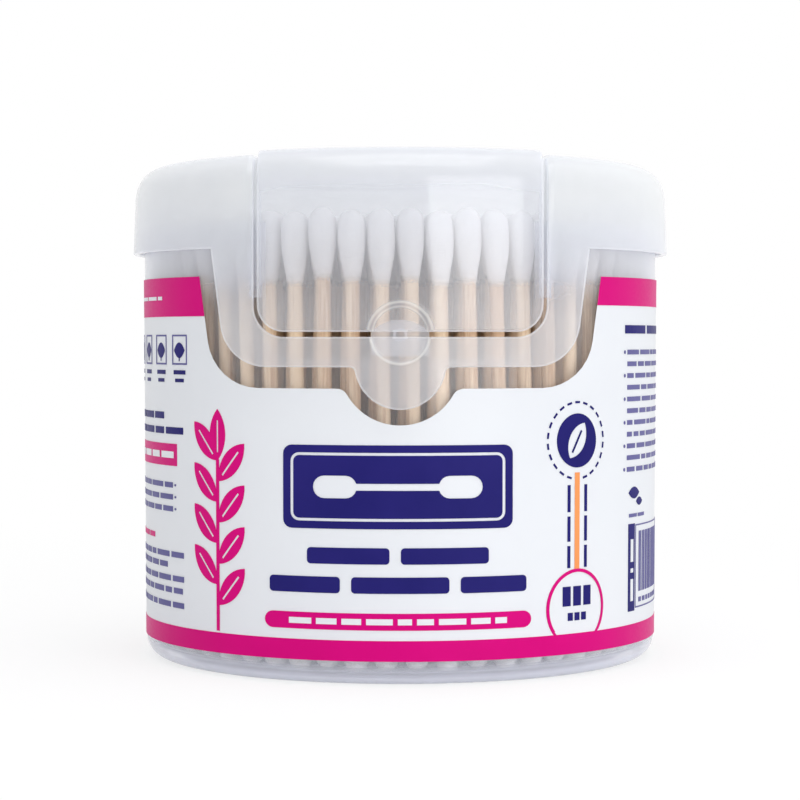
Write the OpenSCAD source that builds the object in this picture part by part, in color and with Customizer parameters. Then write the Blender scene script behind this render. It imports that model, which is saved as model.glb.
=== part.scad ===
// Round tub of wooden cotton swabs. A thin-walled moulded tub carries a wrap-round label and is closed by
// a push-on lid, whose front apron holds a flip-up flap on a living hinge.
// The origin is the centre of the tub's base, +Z is up and the flap faces -Y. Millimetres throughout.

/* [Tub] */
// Outer diameter at the rim
tub_d = 89.8; // [80:0.2:100]
// Height from the base to the rim
tub_h = 74; // [70:1:84]
// How much smaller the diameter is at the base, as draft
tub_draft = 0.6; // [0:0.1:1.4]
// Thickness of the wall
tub_wall = 1; // [0.8:0.1:1.4]
// Thickness of the floor
floor_t = 1.2; // [0.8:0.1:2]
// Radius of the edge round the base
base_edge_r = 3.5; // [2.8:0.1:5]
// Height of the foot ring under the floor
foot_h = 0.5; // [0.3:0.1:1]
// Width of the foot ring
foot_w = 2.4; // [1.5:0.1:4]
// Height of the bead round the rim
rim_bead_h = 1.4; // [1:0.1:2]
// How far the bead stands out from the wall
rim_bead_w = 0.65; // [0.4:0.05:0.8]
// How far beside the lid's opening the bead stops
bead_stop = 1; // [0.5:0.1:3]
// Width of the notch in the front wall
notch_w = 43.2; // [38:0.2:44]
// Depth of the notch below the rim
notch_depth = 22; // [16:0.5:23]
// Radius of the notch's lower corners
notch_r = 4.8; // [3:0.2:7]

/* [Lid] */
// Height of the lid's top above the rim
lid_rise = 11.9; // [10:0.1:16]
// How far the skirt hangs below the rim
skirt_drop = 4.2; // [3:0.1:6]
// Thickness of the lid's walls and top
lid_wall = 1.1; // [0.9:0.05:1.3]
// How much the outside draws in from the skirt's edge to the shoulder
lid_draft = 0.35; // [0:0.05:0.5]
// Radius of the shoulder between wall and top
shoulder_r = 6.5; // [4:0.1:8]
// Gap between the rim's bead and the skirt
skirt_clearance = 0.2; // [0.1:0.05:0.4]
// Width of the step inside the lid that sits on the rim
seat_w = 0.5; // [0.3:0.05:0.7]
// Number of snap segments inside the skirt
snap_count = 6; // [4:1:10]
// Angle that each snap segment spans
snap_angle = 14; // [8:1:20]
// Gap between a snap segment and the rim's bead as it passes
snap_clearance = 0.05; // [0.03:0.01:0.15]

/* [Apron] */
// Half width at the skirt
apron_top_x = 30.7; // [27:0.1:34]
// Half width at the lower corners
apron_low_x = 28.2; // [26:0.1:30]
// How far the lower edge hangs below the rim
apron_drop = 23.3; // [23.2:0.1:26]
// Radius of the lower corners
apron_r = 7.6; // [5:0.1:10]
// Radius of the round tongue
tongue_r = 7.25; // [5:0.05:9]
// Distance from the apron's lower edge up to the tongue's centre
tongue_rise = 0.55; // [0:0.05:2]
// Radius of the fillets beside the tongue
tongue_fillet = 0.9; // [0.4:0.1:2]

/* [Flap] */
// Half width of the flap
flap_x = 22.9; // [18:0.1:25]
// How far the flap's lower edge hangs below the rim
flap_drop = 17.7; // [14:0.1:18]
// Radius of the flap's lower corners
flap_r = 4.4; // [3:0.1:7]
// Gap beside the flap
side_gap = 0.55; // [0.3:0.05:0.8]
// Gap below the flap
slot_gap = 0.8; // [0.4:0.05:1.2]
// Distance of the hinge in front of the tub's axis
hinge_front = 8; // [0:0.5:14]
// Gap that the hinge's web spans
hinge_gap = 0.8; // [0.5:0.1:1.5]
// Thickness of the hinge's web
hinge_web_t = 0.35; // [0.25:0.05:0.5]
// Width of the rebate along the opening's sides, at the top
rebate_w = 1.2; // [0.6:0.1:2]
// Depth of the rebate
rebate_t = 0.55; // [0.3:0.05:0.7]

/* [Thumb dish] */
// Radius of the dish pressed into flap and apron
dish_r = 4.7; // [3:0.1:6]
// Depth of the dish
dish_t = 0.45; // [0.2:0.05:0.6]
// Width of the bead round the dish's upper half
dish_bead_w = 0.9; // [0.5:0.1:1.5]
// How far that bead stands out
dish_bead_t = 0.2; // [0.1:0.05:0.4]
// Thickness of the stop tab behind the flap
stop_t = 0.7; // [0.5:0.05:0.9]
// Gap between the stop tab and the flap
stop_gap = 0.3; // [0.2:0.05:0.4]
// How far the stop tab rises behind the flap
stop_rise = 1.9; // [1:0.1:3]

/* [Label] */
// Thickness of the label
label_t = 0.15; // [0.1:0.01:0.3]
// Height of the label's lower edge above the base's round edge
label_lift = 0.5; // [0:0.1:2]
// Distance from the rim down to the label's upper edge
label_drop = 8.6; // [6:0.1:14]
// Margin of bare wall beside the apron
window_side = 2.2; // [1:0.1:4]
// Margin of bare wall below the apron
window_below = 3.4; // [2:0.1:5]
// Thickness of a printed field
print_t = 0.06; // [0.04:0.01:0.1]
// Height of the coloured band along the lower edge
band_h = 3.3; // [2:0.1:6]
// Height of the coloured tab on the left
left_tab_h = 6.5; // [3:0.1:8]
// Height of the coloured tab on the right
right_tab_h = 4.7; // [3:0.1:8]
// Angle by which the print is turned from the front
print_turn = -0.5; // [-2:0.1:2]
// Height of the title block's middle
title_z = 31.7; // [30:0.1:33]
// Size of the title block: width, then height
title_size = [36.7, 13.3]; // [8:0.1:42]
// Corner radius of the title block
title_r = 1.4; // [0.8:0.1:2]
// Distance of the title's frame from the block's edge
title_frame = 1.2; // [0.8:0.1:2]
// Width of the title's frame line
title_line = 0.9; // [0.4:0.1:1.2]
// Length of the swab drawn in the title
icon_l = 27; // [16:0.5:29]
// Size of the drawn swab's tips: length, then thickness
icon_tip = [7, 3.6]; // [3:0.1:8]
// Thickness of the drawn swab's stick
icon_stick_h = 1.1; // [0.6:0.1:2]
// Middle heights of the two heading bars
heading_z = [20.75, 16.1]; // [14:0.05:24]
// Widths of the upper heading's two bars
heading_1_w = [13.2, 14]; // [8:0.1:18]
// Widths of the lower heading's three bars
heading_2_w = [11.4, 15.6, 10.6]; // [6:0.1:17]
// Gap between two bars of a heading
heading_gap = 1.8; // [1:0.1:3]
// Height of a heading bar
heading_h = 2.6; // [1.5:0.1:3]
// Corner radius of a heading bar
heading_r = 0.6; // [0.2:0.1:0.7]
// Middle height of the lower banner
banner_z = 10.3; // [9.5:0.1:11]
// Size of the lower banner: width, then height
banner_size = [42.8, 2.7]; // [2:0.1:44]
// Angle of the round badge, counted from the front
badge_angle = 39.9; // [36:0.1:46]
// Height of the badge's middle
badge_z = 11.4; // [10:0.1:14]
// Outer radius of the badge
badge_r = 6.4; // [4:0.1:7]
// Width of the badge's ring
badge_line = 0.45; // [0.3:0.05:1]
// Height of the round emblem's middle, above the badge
emblem_z = 38.7; // [37:0.1:42]
// Radius of the emblem's dashed ring
emblem_r = 6.4; // [5:0.1:7]
// Radius of the emblem's disc
emblem_disc_r = 4.4; // [3:0.1:4.6]
// Number of dashes in the emblem's ring
emblem_dashes = 22; // [12:1:30]
// Size of a dash: length, then width
emblem_dash = [1, 0.35]; // [0.2:0.05:1.2]
// Width of the upright bar between emblem and badge
bar_w = 1.05; // [0.6:0.05:2]
// Angle of the sprig's stem, counted from the front
sprig_angle = -41.5; // [-44:0.1:-40]
// Height of the sprig above the coloured band
sprig_h = 36.2; // [24:0.1:38]
// Thickness of the sprig's stem
sprig_stem = 0.7; // [0.3:0.05:1.2]
// Bare gap between the band and the sprig's stem
sprig_gap = 0.3; // [0.2:0.05:1]
// Size of a leaf: length, then width
leaf_size = [8.4, 3.6]; // [2:0.1:9]
// Number of leaves on one side of the stem
leaf_count = 4; // [2:1:5]
// Angle between leaf and stem
leaf_tilt = 42; // [30:1:60]
// Heights of the side panels' fields: lower, then upper edge
panel_field_z = [34, 37.7]; // [30:0.1:40]
// Angles of the left panel's field, counted from the front
panel_field = [-94, -55.8]; // [-110:0.1:-55]
// Heights of the right panel's strip: lower, then upper edge
strip_z = [9.5, 24.2]; // [8:0.1:30]
// Angles of the right panel's strip, counted from the front
strip_turn = [58.3, 61.6]; // [56:0.1:70]

/* [Swabs] */
// Overall length of a swab
swab_l = 74; // [72:0.5:76]
// Diameter of the wooden stick
stick_d = 2.3; // [2:0.1:2.5]
// Diameter of a cotton tip
tip_d = 4.4; // [4:0.05:4.4]
// Length of a cotton tip
tip_l = 12; // [10:0.5:15]
// Diameter of a cotton tip where it ends on the stick
tip_foot_d = 2.7; // [2.6:0.05:3]
// How deep the stick reaches into a tip
stick_depth = 8; // [5:0.5:9]
// Gap between the stick and the cotton round it
stick_gap = 0.04; // [0.02:0.01:0.06]
// Number of rings of swabs round the middle one
ring_count = 9; // [2:1:9]
// Distance between two rings
ring_step = 4.5; // [4.5:0.01:4.55]
// Gap between the outer ring's tips and the wall
wall_gap = 0.3; // [0.2:0.05:0.5]
// How far a whole ring is turned at its two ends, in degrees
ring_twist = 1.2; // [0:0.1:2]
// How far the swabs of one ring sway against each other, in degrees
swab_sway = 0.4; // [0:0.05:0.5]
// Largest height by which a swab stands above the floor
swab_lift = 0.6; // [0:0.05:0.8]

/* [Hidden] */
$fn = 96;

natural = [0.86, 0.87, 0.88, 0.5];
frosted = [0.88, 0.9, 0.92, 0.7];
magenta = [0.84, 0.06, 0.47];
navy = [0.15, 0.14, 0.44];
orange = [0.96, 0.6, 0.33];

weld = 0.2;      // overlap by which one moulding's features run into each other
outside = 20;    // how far a cutter starts outside the walls
arc_steps = 8;   // segments of a rounded corner
seam = 1;        // angle of bare label between the ends of the coloured tabs at the back
tab_start = 38;  // angle from the front, under the window, from which the coloured tabs are drawn

tub_r = tub_d / 2;
tub_base_r = tub_r - tub_draft / 2;
tub_inner_r = tub_base_r - tub_wall;
rim_bead_r = tub_r + rim_bead_w;
floor_z = foot_h + floor_t;
notch_z = tub_h - notch_depth;

lid_z = tub_h + lid_rise;
skirt_z = tub_h - skirt_drop;
skirt_inner_r = rim_bead_r + skirt_clearance;
skirt_r = skirt_inner_r + lid_wall;
shoulder_outer_r = skirt_r - lid_draft;
shoulder_z = lid_z - shoulder_r;
shoulder_x = shoulder_outer_r - shoulder_r;

apron_z = tub_h - apron_drop;
tongue_z = apron_z + tongue_rise;
tongue_low_z = tongue_z - tongue_r;
flap_z = tub_h - flap_drop;
slot_z = flap_z - slot_gap;
opening_x = flap_x + side_gap;
hinge_y = -hinge_front;
dish_z = flap_z - slot_gap / 2;

label_z = base_edge_r + label_lift;
label_top_z = tub_h - label_drop;
tip_r = tip_d / 2;
outer_ring_r = tub_inner_r - wall_gap - tip_r;

// Outer radius of the tub's wall at height z
function wall_r(z) = tub_base_r + tub_draft / 2 * (z - base_edge_r) / (tub_h - base_edge_r);

function unit(v) = v / norm(v);

// Points of an arc of radius r about c, from angle a to angle b
function arc(c, r, a, b, steps = arc_steps) =
    [for (i = [0:steps]) c + r * [cos(a + (b - a) * i / steps), sin(a + (b - a) * i / steps)]];

// Points of the arc that rounds corner b, which lies between a and c
function corner(a, b, c, r) =
    let (u = unit(a - b), v = unit(c - b), half = acos(u * v) / 2,
         centre = b + unit(u + v) * r / sin(half),
         p = b + u * r / tan(half) - centre, q = b + v * r / tan(half) - centre,
         start = atan2(p.y, p.x), turn = atan2(q.y, q.x) - start,
         sweep = turn > 180 ? turn - 360 : turn < -180 ? turn + 360 : turn)
    arc(centre, r, start, start + sweep);

function after_first(points) = [for (i = [1:len(points) - 1]) points[i]];

// Outline from its right half, which ends on the middle line
function mirrored(points) = concat(points, [for (i = [len(points) - 2:-1:0]) [-points[i].x, points[i].y]]);

// Front outline shared by the apron and the label's window: two sloping sides, a level lower edge with
// round corners, and a round tongue in the middle. top is [half width, height], low the lower corner.
function tongue_outline(top, low, low_r, lobe_z, lobe_r, fillet) =
    let (reach = lobe_r + fillet, drop = low.y - fillet - lobe_z,
         fillet_x = sqrt(reach * reach - drop * drop), turn = atan2(drop, fillet_x))
    mirrored(concat([top], corner(top, low, [0, low.y], low_r),
                    arc([fillet_x, low.y - fillet], fillet, 90, 180 + turn, 4),
                    after_first(arc([0, lobe_z], lobe_r, turn, -90, 2 * arc_steps))));

// Front outline of a cut or panel that is open to the top and has round lower corners
function u_outline(half_w, low_z, r, top_z = lid_z + outside) =
    mirrored(concat([[half_w, top_z]], corner([half_w, top_z], [half_w, low_z], [0, low_z], r), [[0, low_z]]));

// Cuts a front outline, drawn in X and Z, through the wall between the planes y_from and y_to
module through_front(y_to = 0, y_from = -skirt_r - outside)
    translate([0, y_to, 0]) rotate([90, 0, 0]) linear_extrude(y_to - y_from) children();

module rounded_bar(size, r)
    polygon([for (k = [0:3], p = arc([(k == 0 || k == 3 ? 1 : -1) * (size.x / 2 - r),
                                      (k < 2 ? 1 : -1) * (size.y / 2 - r)], r, 90 * k, 90 * k + 90, 5)) p]);

// Tub

module tub_outside()
    rotate_extrude() {
        polygon([[0, 0], [tub_base_r - base_edge_r, 0], [tub_base_r - base_edge_r, base_edge_r],
                 [tub_base_r, base_edge_r], [tub_r, tub_h], [0, tub_h]]);
        intersection() {
            translate([tub_base_r - base_edge_r, base_edge_r]) circle(base_edge_r);
            square([tub_base_r, base_edge_r]);
        }
    }

// Bead round the rim, which stops on both sides of the flap
module rim_bead() {
    side = asin((opening_x + bead_stop) / tub_r);
    rotate([0, 0, side - 90]) rotate_extrude(angle = 360 - 2 * side)
        translate([tub_r - weld, tub_h - rim_bead_h])
            polygon([[0, 0], [weld + rim_bead_w, rim_bead_w / 2], [weld + rim_bead_w, rim_bead_h], [0, rim_bead_h]]);
}

module tub_inside()
    rotate_extrude() {
        edge_r = base_edge_r - tub_wall;
        polygon([[0, floor_z], [tub_inner_r - edge_r, floor_z], [tub_inner_r - edge_r, floor_z + edge_r],
                 [tub_inner_r, floor_z + edge_r], [tub_r - tub_wall, tub_h + weld], [0, tub_h + weld]]);
        intersection() {
            translate([tub_inner_r - edge_r, floor_z + edge_r]) circle(edge_r);
            translate([0, floor_z]) square([tub_inner_r, edge_r]);
        }
    }

module tub()
    color(natural) {
        difference() {
            tub_outside();
            tub_inside();
            translate([0, 0, -weld]) cylinder(h = foot_h + weld, r = tub_base_r - base_edge_r - foot_w);
            through_front() polygon(u_outline(notch_w / 2, notch_z, notch_r));
        }
        rim_bead();
    }

// Lid and flap share one skin: a drafted wall that turns over a round shoulder into the flat top

module lid_solid(inset, low_z)
    rotate_extrude() {
        polygon([[0, low_z], [skirt_r - inset, low_z], [skirt_r - inset, skirt_z],
                 [shoulder_outer_r - inset, shoulder_z], [0, shoulder_z]]);
        translate([0, shoulder_z - weld]) square([shoulder_x, shoulder_r - inset + weld]);
        intersection() {
            translate([shoulder_x, shoulder_z]) circle(shoulder_r - inset);
            translate([0, shoulder_z - weld]) square([skirt_r, shoulder_r + weld]);
        }
    }

// Inside of the lid above the rim: it is narrower than the skirt by the step that sits on the rim
module lid_headspace() {
    r = shoulder_outer_r - lid_wall - seat_w;
    edge_r = r - shoulder_x;
    rotate_extrude() {
        translate([0, tub_h]) square([r, lid_z - lid_wall - edge_r - tub_h]);
        translate([0, tub_h]) square([shoulder_x, lid_z - lid_wall - tub_h]);
        translate([shoulder_x, lid_z - lid_wall - edge_r]) circle(edge_r);
    }
}

module lid_shell()
    difference() {
        intersection() {
            lid_solid(0, tongue_low_z - weld);
            union() {
                translate([0, 0, skirt_z]) cylinder(h = lid_z, r = skirt_r + outside);
                through_front() polygon(tongue_outline([apron_top_x, skirt_z + weld], [apron_low_x, apron_z],
                                                       apron_r, tongue_z, tongue_r, tongue_fillet));
            }
        }
        translate([0, 0, tongue_low_z - outside]) cylinder(h = tub_h + outside - tongue_low_z, r = skirt_inner_r);
        lid_headspace();
    }

module snap_segments() {
    pass_r = rim_bead_r + snap_clearance;
    top_z = tub_h - rim_bead_h;
    side = asin(apron_top_x / skirt_r);
    step = (360 - 2 * side) / snap_count;
    for (i = [0:snap_count - 1])
        rotate([0, 0, -90 + side + step * (i + 0.5) - snap_angle / 2])
            rotate_extrude(angle = snap_angle)
                polygon([[skirt_inner_r + weld, skirt_z + 0.4], [pass_r, top_z - 1], [pass_r, top_z - 0.4],
                         [skirt_inner_r + weld, top_z]]);
}

// Tab behind the flap that stops it from being pressed inwards
module stop_tab() {
    outer_r = skirt_inner_r - stop_gap;
    root_z = notch_z + 0.5;
    half_w = dish_r - 0.1;
    dome_r = (half_w * half_w + stop_rise * stop_rise) / (2 * stop_rise);
    intersection() {
        difference() {
            union() {
                cylinder(h = flap_z + stop_rise + outside, r = outer_r);
                cylinder(h = slot_z - 0.2, r = skirt_inner_r + weld);
            }
            translate([0, 0, -weld]) cylinder(h = lid_z + outside, r = outer_r - stop_t);
        }
        through_front() intersection() {
            translate([0, flap_z + stop_rise - dome_r]) circle(dome_r);
            translate([-half_w, root_z]) square([2 * half_w, flap_z + stop_rise - root_z]);
        }
    }
}

module thumb_dish()
    difference() {
        through_front() translate([0, dish_z]) circle(dish_r);
        lid_solid(dish_t, tongue_low_z - outside);
    }

module side_rebates()
    difference() {
        through_front(y_to = hinge_y)
            for (side = [-1, 1])
                polygon([[side * (opening_x - weld), flap_z + flap_r], [side * opening_x, flap_z + flap_r],
                         [side * (opening_x + rebate_w), lid_z + weld], [side * (opening_x - weld), lid_z + weld]]);
        lid_solid(rebate_t, tongue_low_z);
    }

// Web of the living hinge: a thin strip flush with the lid's top, up to the line on which the flap turns
module hinge_web()
    translate([-flap_x, hinge_y, lid_z - hinge_web_t]) cube([2 * flap_x, hinge_gap + weld, hinge_web_t]);

module lid()
    color(frosted) {
        difference() {
            lid_shell();
            through_front(y_to = hinge_y + hinge_gap) polygon(u_outline(opening_x, slot_z, flap_r + side_gap));
            side_rebates();
            thumb_dish();
        }
        hinge_web();
        snap_segments();
        stop_tab();
    }

module dish_bead()
    intersection() {
        difference() {
            lid_solid(-dish_bead_t, slot_z);
            lid_solid(weld, slot_z - weld);
        }
        through_front() intersection() {
            difference() {
                translate([0, dish_z]) circle(dish_r + dish_bead_w);
                translate([0, dish_z]) circle(dish_r);
            }
            translate([-outside, flap_z]) square(2 * outside);
        }
    }

module flap()
    color(frosted) {
        difference() {
            intersection() {
                lid_solid(0, slot_z);
                through_front(y_to = hinge_y) polygon(u_outline(flap_x, flap_z, flap_r));
            }
            lid_solid(lid_wall, slot_z - weld);
            thumb_dish();
        }
        dish_bead();
    }

// Label and print

// Shell of thickness t that lies on the tub's wall, or on the label where base is its thickness
module wall_shell(z0, z1, t, base = 0)
    rotate_extrude()
        polygon([[wall_r(z0) + base, z0], [wall_r(z0) + base + t, z0], [wall_r(z1) + base + t, z1],
                 [wall_r(z1) + base, z1]]);

// Stretch of such a shell from one angle to another, both counted from the front
module wall_band(z0, z1, t, base, from, to)
    rotate([0, 0, from - 90]) rotate_extrude(angle = to - from)
        polygon([[wall_r(z0) + base, z0], [wall_r(z0) + base + t, z0], [wall_r(z1) + base + t, z1],
                 [wall_r(z1) + base, z1]]);

module window()
    polygon(tongue_outline([apron_top_x + window_side, label_top_z + weld], [apron_low_x + window_side,
            apron_z - window_below], apron_r + window_side / 2, tongue_z, tongue_r + window_side + 0.3,
            tongue_fillet + 1));

module label()
    color("white") difference() {
        wall_shell(label_z, label_top_z, label_t);
        through_front() window();
    }

// A flat field, drawn in X and Z, laid on the label at an angle from the front
module printed(angle = 0)
    intersection() {
        wall_shell(label_z, label_top_z, print_t, label_t);
        rotate([0, 0, angle]) through_front() children();
    }

module badge_ring() {
    band_top = label_z + band_h;
    intersection() {
        translate([0, badge_z]) difference() {
            circle(badge_r);
            circle(badge_r - badge_line);
        }
        translate([-badge_r, band_top]) square([2 * badge_r, badge_z + badge_r - band_top]);
    }
}

// Pointed leaf from the origin along +X, bare along its vein
module leaf(size) {
    bow_r = (size.x * size.x / 4 + size.y * size.y / 4) / size.y;
    difference() {
        intersection_for(side = [-1, 1])
            translate([size.x / 2, side * (bow_r - size.y / 2)]) circle(bow_r);
        translate([size.x * 0.16, -size.y * 0.05]) square([size.x * 0.62, size.y * 0.1]);
    }
}

// Stem with leaves on both sides by turns, and one leaf at its end
module sprig() {
    stem_l = sprig_h - leaf_size.x;
    step = (stem_l - leaf_size.x / 2) / (2 * leaf_count - 1);
    translate([-sprig_stem / 2, 0]) square([sprig_stem, stem_l + weld]);
    translate([0, stem_l]) rotate(90) leaf(leaf_size);
    for (k = [0:2 * leaf_count - 1]) {
        side = k % 2 == 0 ? 1 : -1;
        translate([side * sprig_stem / 4, leaf_size.x / 2 + step * k]) rotate(90 - side * leaf_tilt) leaf(leaf_size);
    }
}

module print_magenta()
    color(magenta) {
        wall_shell(label_z, label_z + band_h, print_t, label_t);
        difference() {
            union() {
                wall_band(label_top_z - right_tab_h, label_top_z, print_t, label_t, tab_start, 180 - seam / 2);
                wall_band(label_top_z - left_tab_h, label_top_z, print_t, label_t, seam / 2 - 180, -tab_start);
            }
            through_front() window();
        }
        printed(print_turn) translate([0, banner_z]) rounded_bar(banner_size, banner_size.y / 2 - 0.01);
        printed(badge_angle) badge_ring();
        printed(sprig_angle) translate([0, label_z + band_h + sprig_gap]) sprig();
        wall_band(panel_field_z[0], panel_field_z[1], print_t, label_t, panel_field[0], panel_field[1]);
    }

// Field with a thin frame and a lying swab left bare in it
module title_block() {
    frame = title_size - 2 * [title_frame, title_frame];
    difference() {
        rounded_bar(title_size, title_r);
        difference() {
            rounded_bar(frame, title_r);
            rounded_bar(frame - [title_line, title_line], title_r - title_line / 2);
        }
        square([icon_l - icon_tip.x, icon_stick_h], center = true);
        for (side = [-1, 1])
            translate([side * (icon_l - icon_tip.x) / 2, 0]) rounded_bar(icon_tip, icon_tip.y / 2 - 0.01);
    }
}

function sum(v, to, from = 0) = from >= to ? 0 : v[from] + sum(v, to, from + 1);

// Bars side by side, centred on the origin
module heading(widths) {
    total = sum(widths, len(widths)) + heading_gap * (len(widths) - 1);
    for (k = [0:len(widths) - 1])
        translate([sum(widths, k) + heading_gap * k + widths[k] / 2 - total / 2, 0])
            rounded_bar([widths[k], heading_h], heading_r);
}

// Disc with a bare leaf in it, inside a ring of dashes that lacks its lowest one, where the upright bar passes
module emblem() {
    difference() {
        circle(emblem_disc_r);
        rotate(60) translate([-emblem_disc_r * 0.75, 0]) leaf([emblem_disc_r * 1.5, emblem_disc_r * 0.8]);
    }
    for (k = [1:emblem_dashes - 1])
        rotate(360 * k / emblem_dashes - 90) translate([emblem_r - emblem_dash.y / 2, 0])
            square([emblem_dash.y, emblem_dash.x], center = true);
}

module print_navy()
    color(navy) {
        printed(print_turn) {
            translate([0, title_z]) title_block();
            translate([0, heading_z[0]]) heading(heading_1_w);
            translate([0, heading_z[1]]) heading(heading_2_w);
        }
        printed(badge_angle) translate([0, emblem_z]) emblem();
        wall_band(strip_z[0], strip_z[1], print_t, label_t, strip_turn[0], strip_turn[1]);
    }

// Upright bar from the badge to the emblem
module print_orange() {
    half = bar_w / (2 * tub_base_r) * 180 / PI;
    color(orange)
        wall_band(badge_z + badge_r, emblem_z - emblem_disc_r - 0.8, print_t, label_t, badge_angle - half,
                  badge_angle + half);
}

// Swabs: one in the middle, then rings of 6, 12, 18 and so on

function ring_r(k) = outer_ring_r - (ring_count - k) * ring_step;

// Where swab i of ring k stands at its lower end (end = -1) or its upper end (end = 1)
function swab_at(k, i, end) =
    k == 0 ? [0, 0] :
    let (a = 60 * i / k + 17 * k + end * (ring_twist * cos(180 * k) * sin(50 * k + 40)
                                          + swab_sway * sin(300 * i / k + 70 * k)))
    ring_r(k) * [cos(a), sin(a)];

// Height above the floor, different for each swab
function lift_of(k, i) = swab_lift * (0.5 + 0.5 * sin(137.5 * i + 61 * k));

// Draws its child once for each swab, standing in the swab's own frame: Z along the swab, and the origin at the
// middle of its lower dome
module each_swab()
    for (k = [0:ring_count], i = [0:max(6 * k, 1) - 1]) {
        low = swab_at(k, i, -1);
        lean = concat(swab_at(k, i, 1) - low, [swab_l - tip_d]);
        translate([low.x, low.y, floor_z + tip_r + lift_of(k, i)])
            rotate([0, acos(lean.z / norm(lean)), atan2(lean.y, lean.x)])
                children();
    }

// A tip whose dome has its middle at the origin and points down
module cotton_tip() {
    foot_z = tip_l - tip_r;
    bore_z = foot_z - stick_depth;
    bore_r = stick_d / 2 + stick_gap;
    rotate_extrude() {
        intersection() {
            circle(tip_r);
            translate([0, -tip_r]) square([tip_r, tip_r]);
        }
        polygon([[0, 0], [tip_r, 0], [tip_foot_d / 2, foot_z], [bore_r, foot_z], [bore_r, bore_z], [0, bore_z]]);
    }
}

module wooden_sticks()
    color("burlywood") each_swab()
        translate([0, 0, tip_l - tip_r - stick_depth])
            cylinder(h = swab_l - 2 * (tip_l - stick_depth), d = stick_d);

module upper_cotton_tips()
    color("white") each_swab()
        translate([0, 0, swab_l - tip_d]) mirror([0, 0, 1]) cotton_tip();

module lower_cotton_tips()
    color("white") each_swab() cotton_tip();

tub();
lid();
flap();
label();
print_magenta();
print_navy();
print_orange();
wooden_sticks();
upper_cotton_tips();
lower_cotton_tips();
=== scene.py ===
"""Looks of a round tub of wooden cotton swabs: a translucent tub with a wrap-round label, closed by a
frosted lid with a flip-up flap. Lengths in the helpers are millimetres, and the meshes are made in metres.
The origin is the centre of the tub's base, +Z is up and the flap faces -Y. Angles round the tub count from
the front to +X."""

import math
import random

import bmesh
import bpy
from mathutils import Matrix, Vector, noise

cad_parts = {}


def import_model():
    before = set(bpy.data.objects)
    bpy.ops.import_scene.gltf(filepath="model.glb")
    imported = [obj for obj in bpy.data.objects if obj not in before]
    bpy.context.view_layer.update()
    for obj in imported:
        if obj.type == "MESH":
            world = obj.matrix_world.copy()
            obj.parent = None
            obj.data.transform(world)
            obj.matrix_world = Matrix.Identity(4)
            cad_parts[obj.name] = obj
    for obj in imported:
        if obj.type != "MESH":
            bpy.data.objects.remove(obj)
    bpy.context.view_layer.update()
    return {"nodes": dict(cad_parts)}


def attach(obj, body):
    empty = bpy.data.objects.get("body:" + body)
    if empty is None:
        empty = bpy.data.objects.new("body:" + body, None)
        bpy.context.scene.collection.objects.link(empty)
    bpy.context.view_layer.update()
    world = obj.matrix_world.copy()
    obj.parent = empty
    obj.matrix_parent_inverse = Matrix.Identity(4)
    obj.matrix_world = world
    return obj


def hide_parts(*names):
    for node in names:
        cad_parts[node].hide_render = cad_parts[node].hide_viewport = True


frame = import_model()

MM = 0.001
TAU = 2 * math.pi

# Sizes that the solids have too

TUB_R = 44.9            # tub at the rim
TUB_BASE_R = 44.6       # tub above its round lower edge
TUB_H = 74.0
BASE_EDGE_R = 3.5
FLOOR_Z = 1.7
LABEL_T = 0.15
PRINT_T = 0.06
PRINT_TURN = -0.5
BANNER_Z = 10.3
BANNER_HALF = 17.9
BADGE = (40.0, 11.6)    # turn and height of its middle

SWAB_L = 74.0
STICK_R = 1.15
TIP_R = 2.2
TIP_L = 12.0
STICK_DEPTH = 8.0
RING_COUNT = 9
RING_STEP = 4.5
OUTER_RING_R = 41.1
RING_TWIST = 1.2
SWAB_SWAY = 0.4
SWAB_LIFT = 0.6


def wall_r(z):
    """Outer radius of the tub's wall at height z."""
    return TUB_BASE_R + (TUB_R - TUB_BASE_R) * (z - BASE_EDGE_R) / (TUB_H - BASE_EDGE_R)


# Helpers for meshes

def smooth_step(low, high, value):
    t = min(max((value - low) / (high - low), 0.0), 1.0)
    return t * t * (3 - 2 * t)


def steps(start, end, count):
    """Values from start to end, without start."""
    return [start + (end - start) * k / count for k in range(1, count + 1)]


def mesh_piece(name, points, faces, material, smooth=True):
    """An object from points in millimetres."""
    mesh = bpy.data.meshes.new(name)
    mesh.from_pydata([(x * MM, y * MM, z * MM) for x, y, z in points], [], faces)
    mesh.validate()
    mesh.polygons.foreach_set("use_smooth", [smooth] * len(mesh.polygons))
    mesh.materials.append(material)
    piece = bpy.data.objects.new(name, mesh)
    bpy.context.scene.collection.objects.link(piece)
    return piece


# Helpers for materials

def new_tree(name):
    made = bpy.data.materials.new(name)
    made.use_nodes = True
    made.node_tree.nodes.clear()
    return made, made.node_tree


def add(tree, kind, inputs=None, **settings):
    """Adds a shader node. An input takes a value, or the socket that feeds it."""
    made = tree.nodes.new(kind)
    for name, value in settings.items():
        setattr(made, name, value)
    for name, value in (inputs or {}).items():
        if isinstance(value, bpy.types.NodeSocket):
            tree.links.new(value, made.inputs[name])
        else:
            made.inputs[name].default_value = value
    return made


def calc(tree, operation, *values, **settings):
    """The result of a Math node. Each value is a number or a socket."""
    return add(tree, "ShaderNodeMath", dict(enumerate(values)), operation=operation, **settings).outputs[0]


def vector_calc(tree, operation, *values):
    """A Vector Math node."""
    return add(tree, "ShaderNodeVectorMath", dict(enumerate(values)), operation=operation)


def part_of(tree, vector, axis):
    return add(tree, "ShaderNodeSeparateXYZ", {"Vector": vector}).outputs[axis]


def mixed(tree, share, first, second):
    """Two shader nodes mixed, with the share of the second."""
    return add(tree, "ShaderNodeMixShader", {"Fac": share, 1: first.outputs[0], 2: second.outputs[0]})


def on_object(tree):
    """Place on the object, in metres."""
    return add(tree, "ShaderNodeTexCoord").outputs["Object"]


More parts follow.
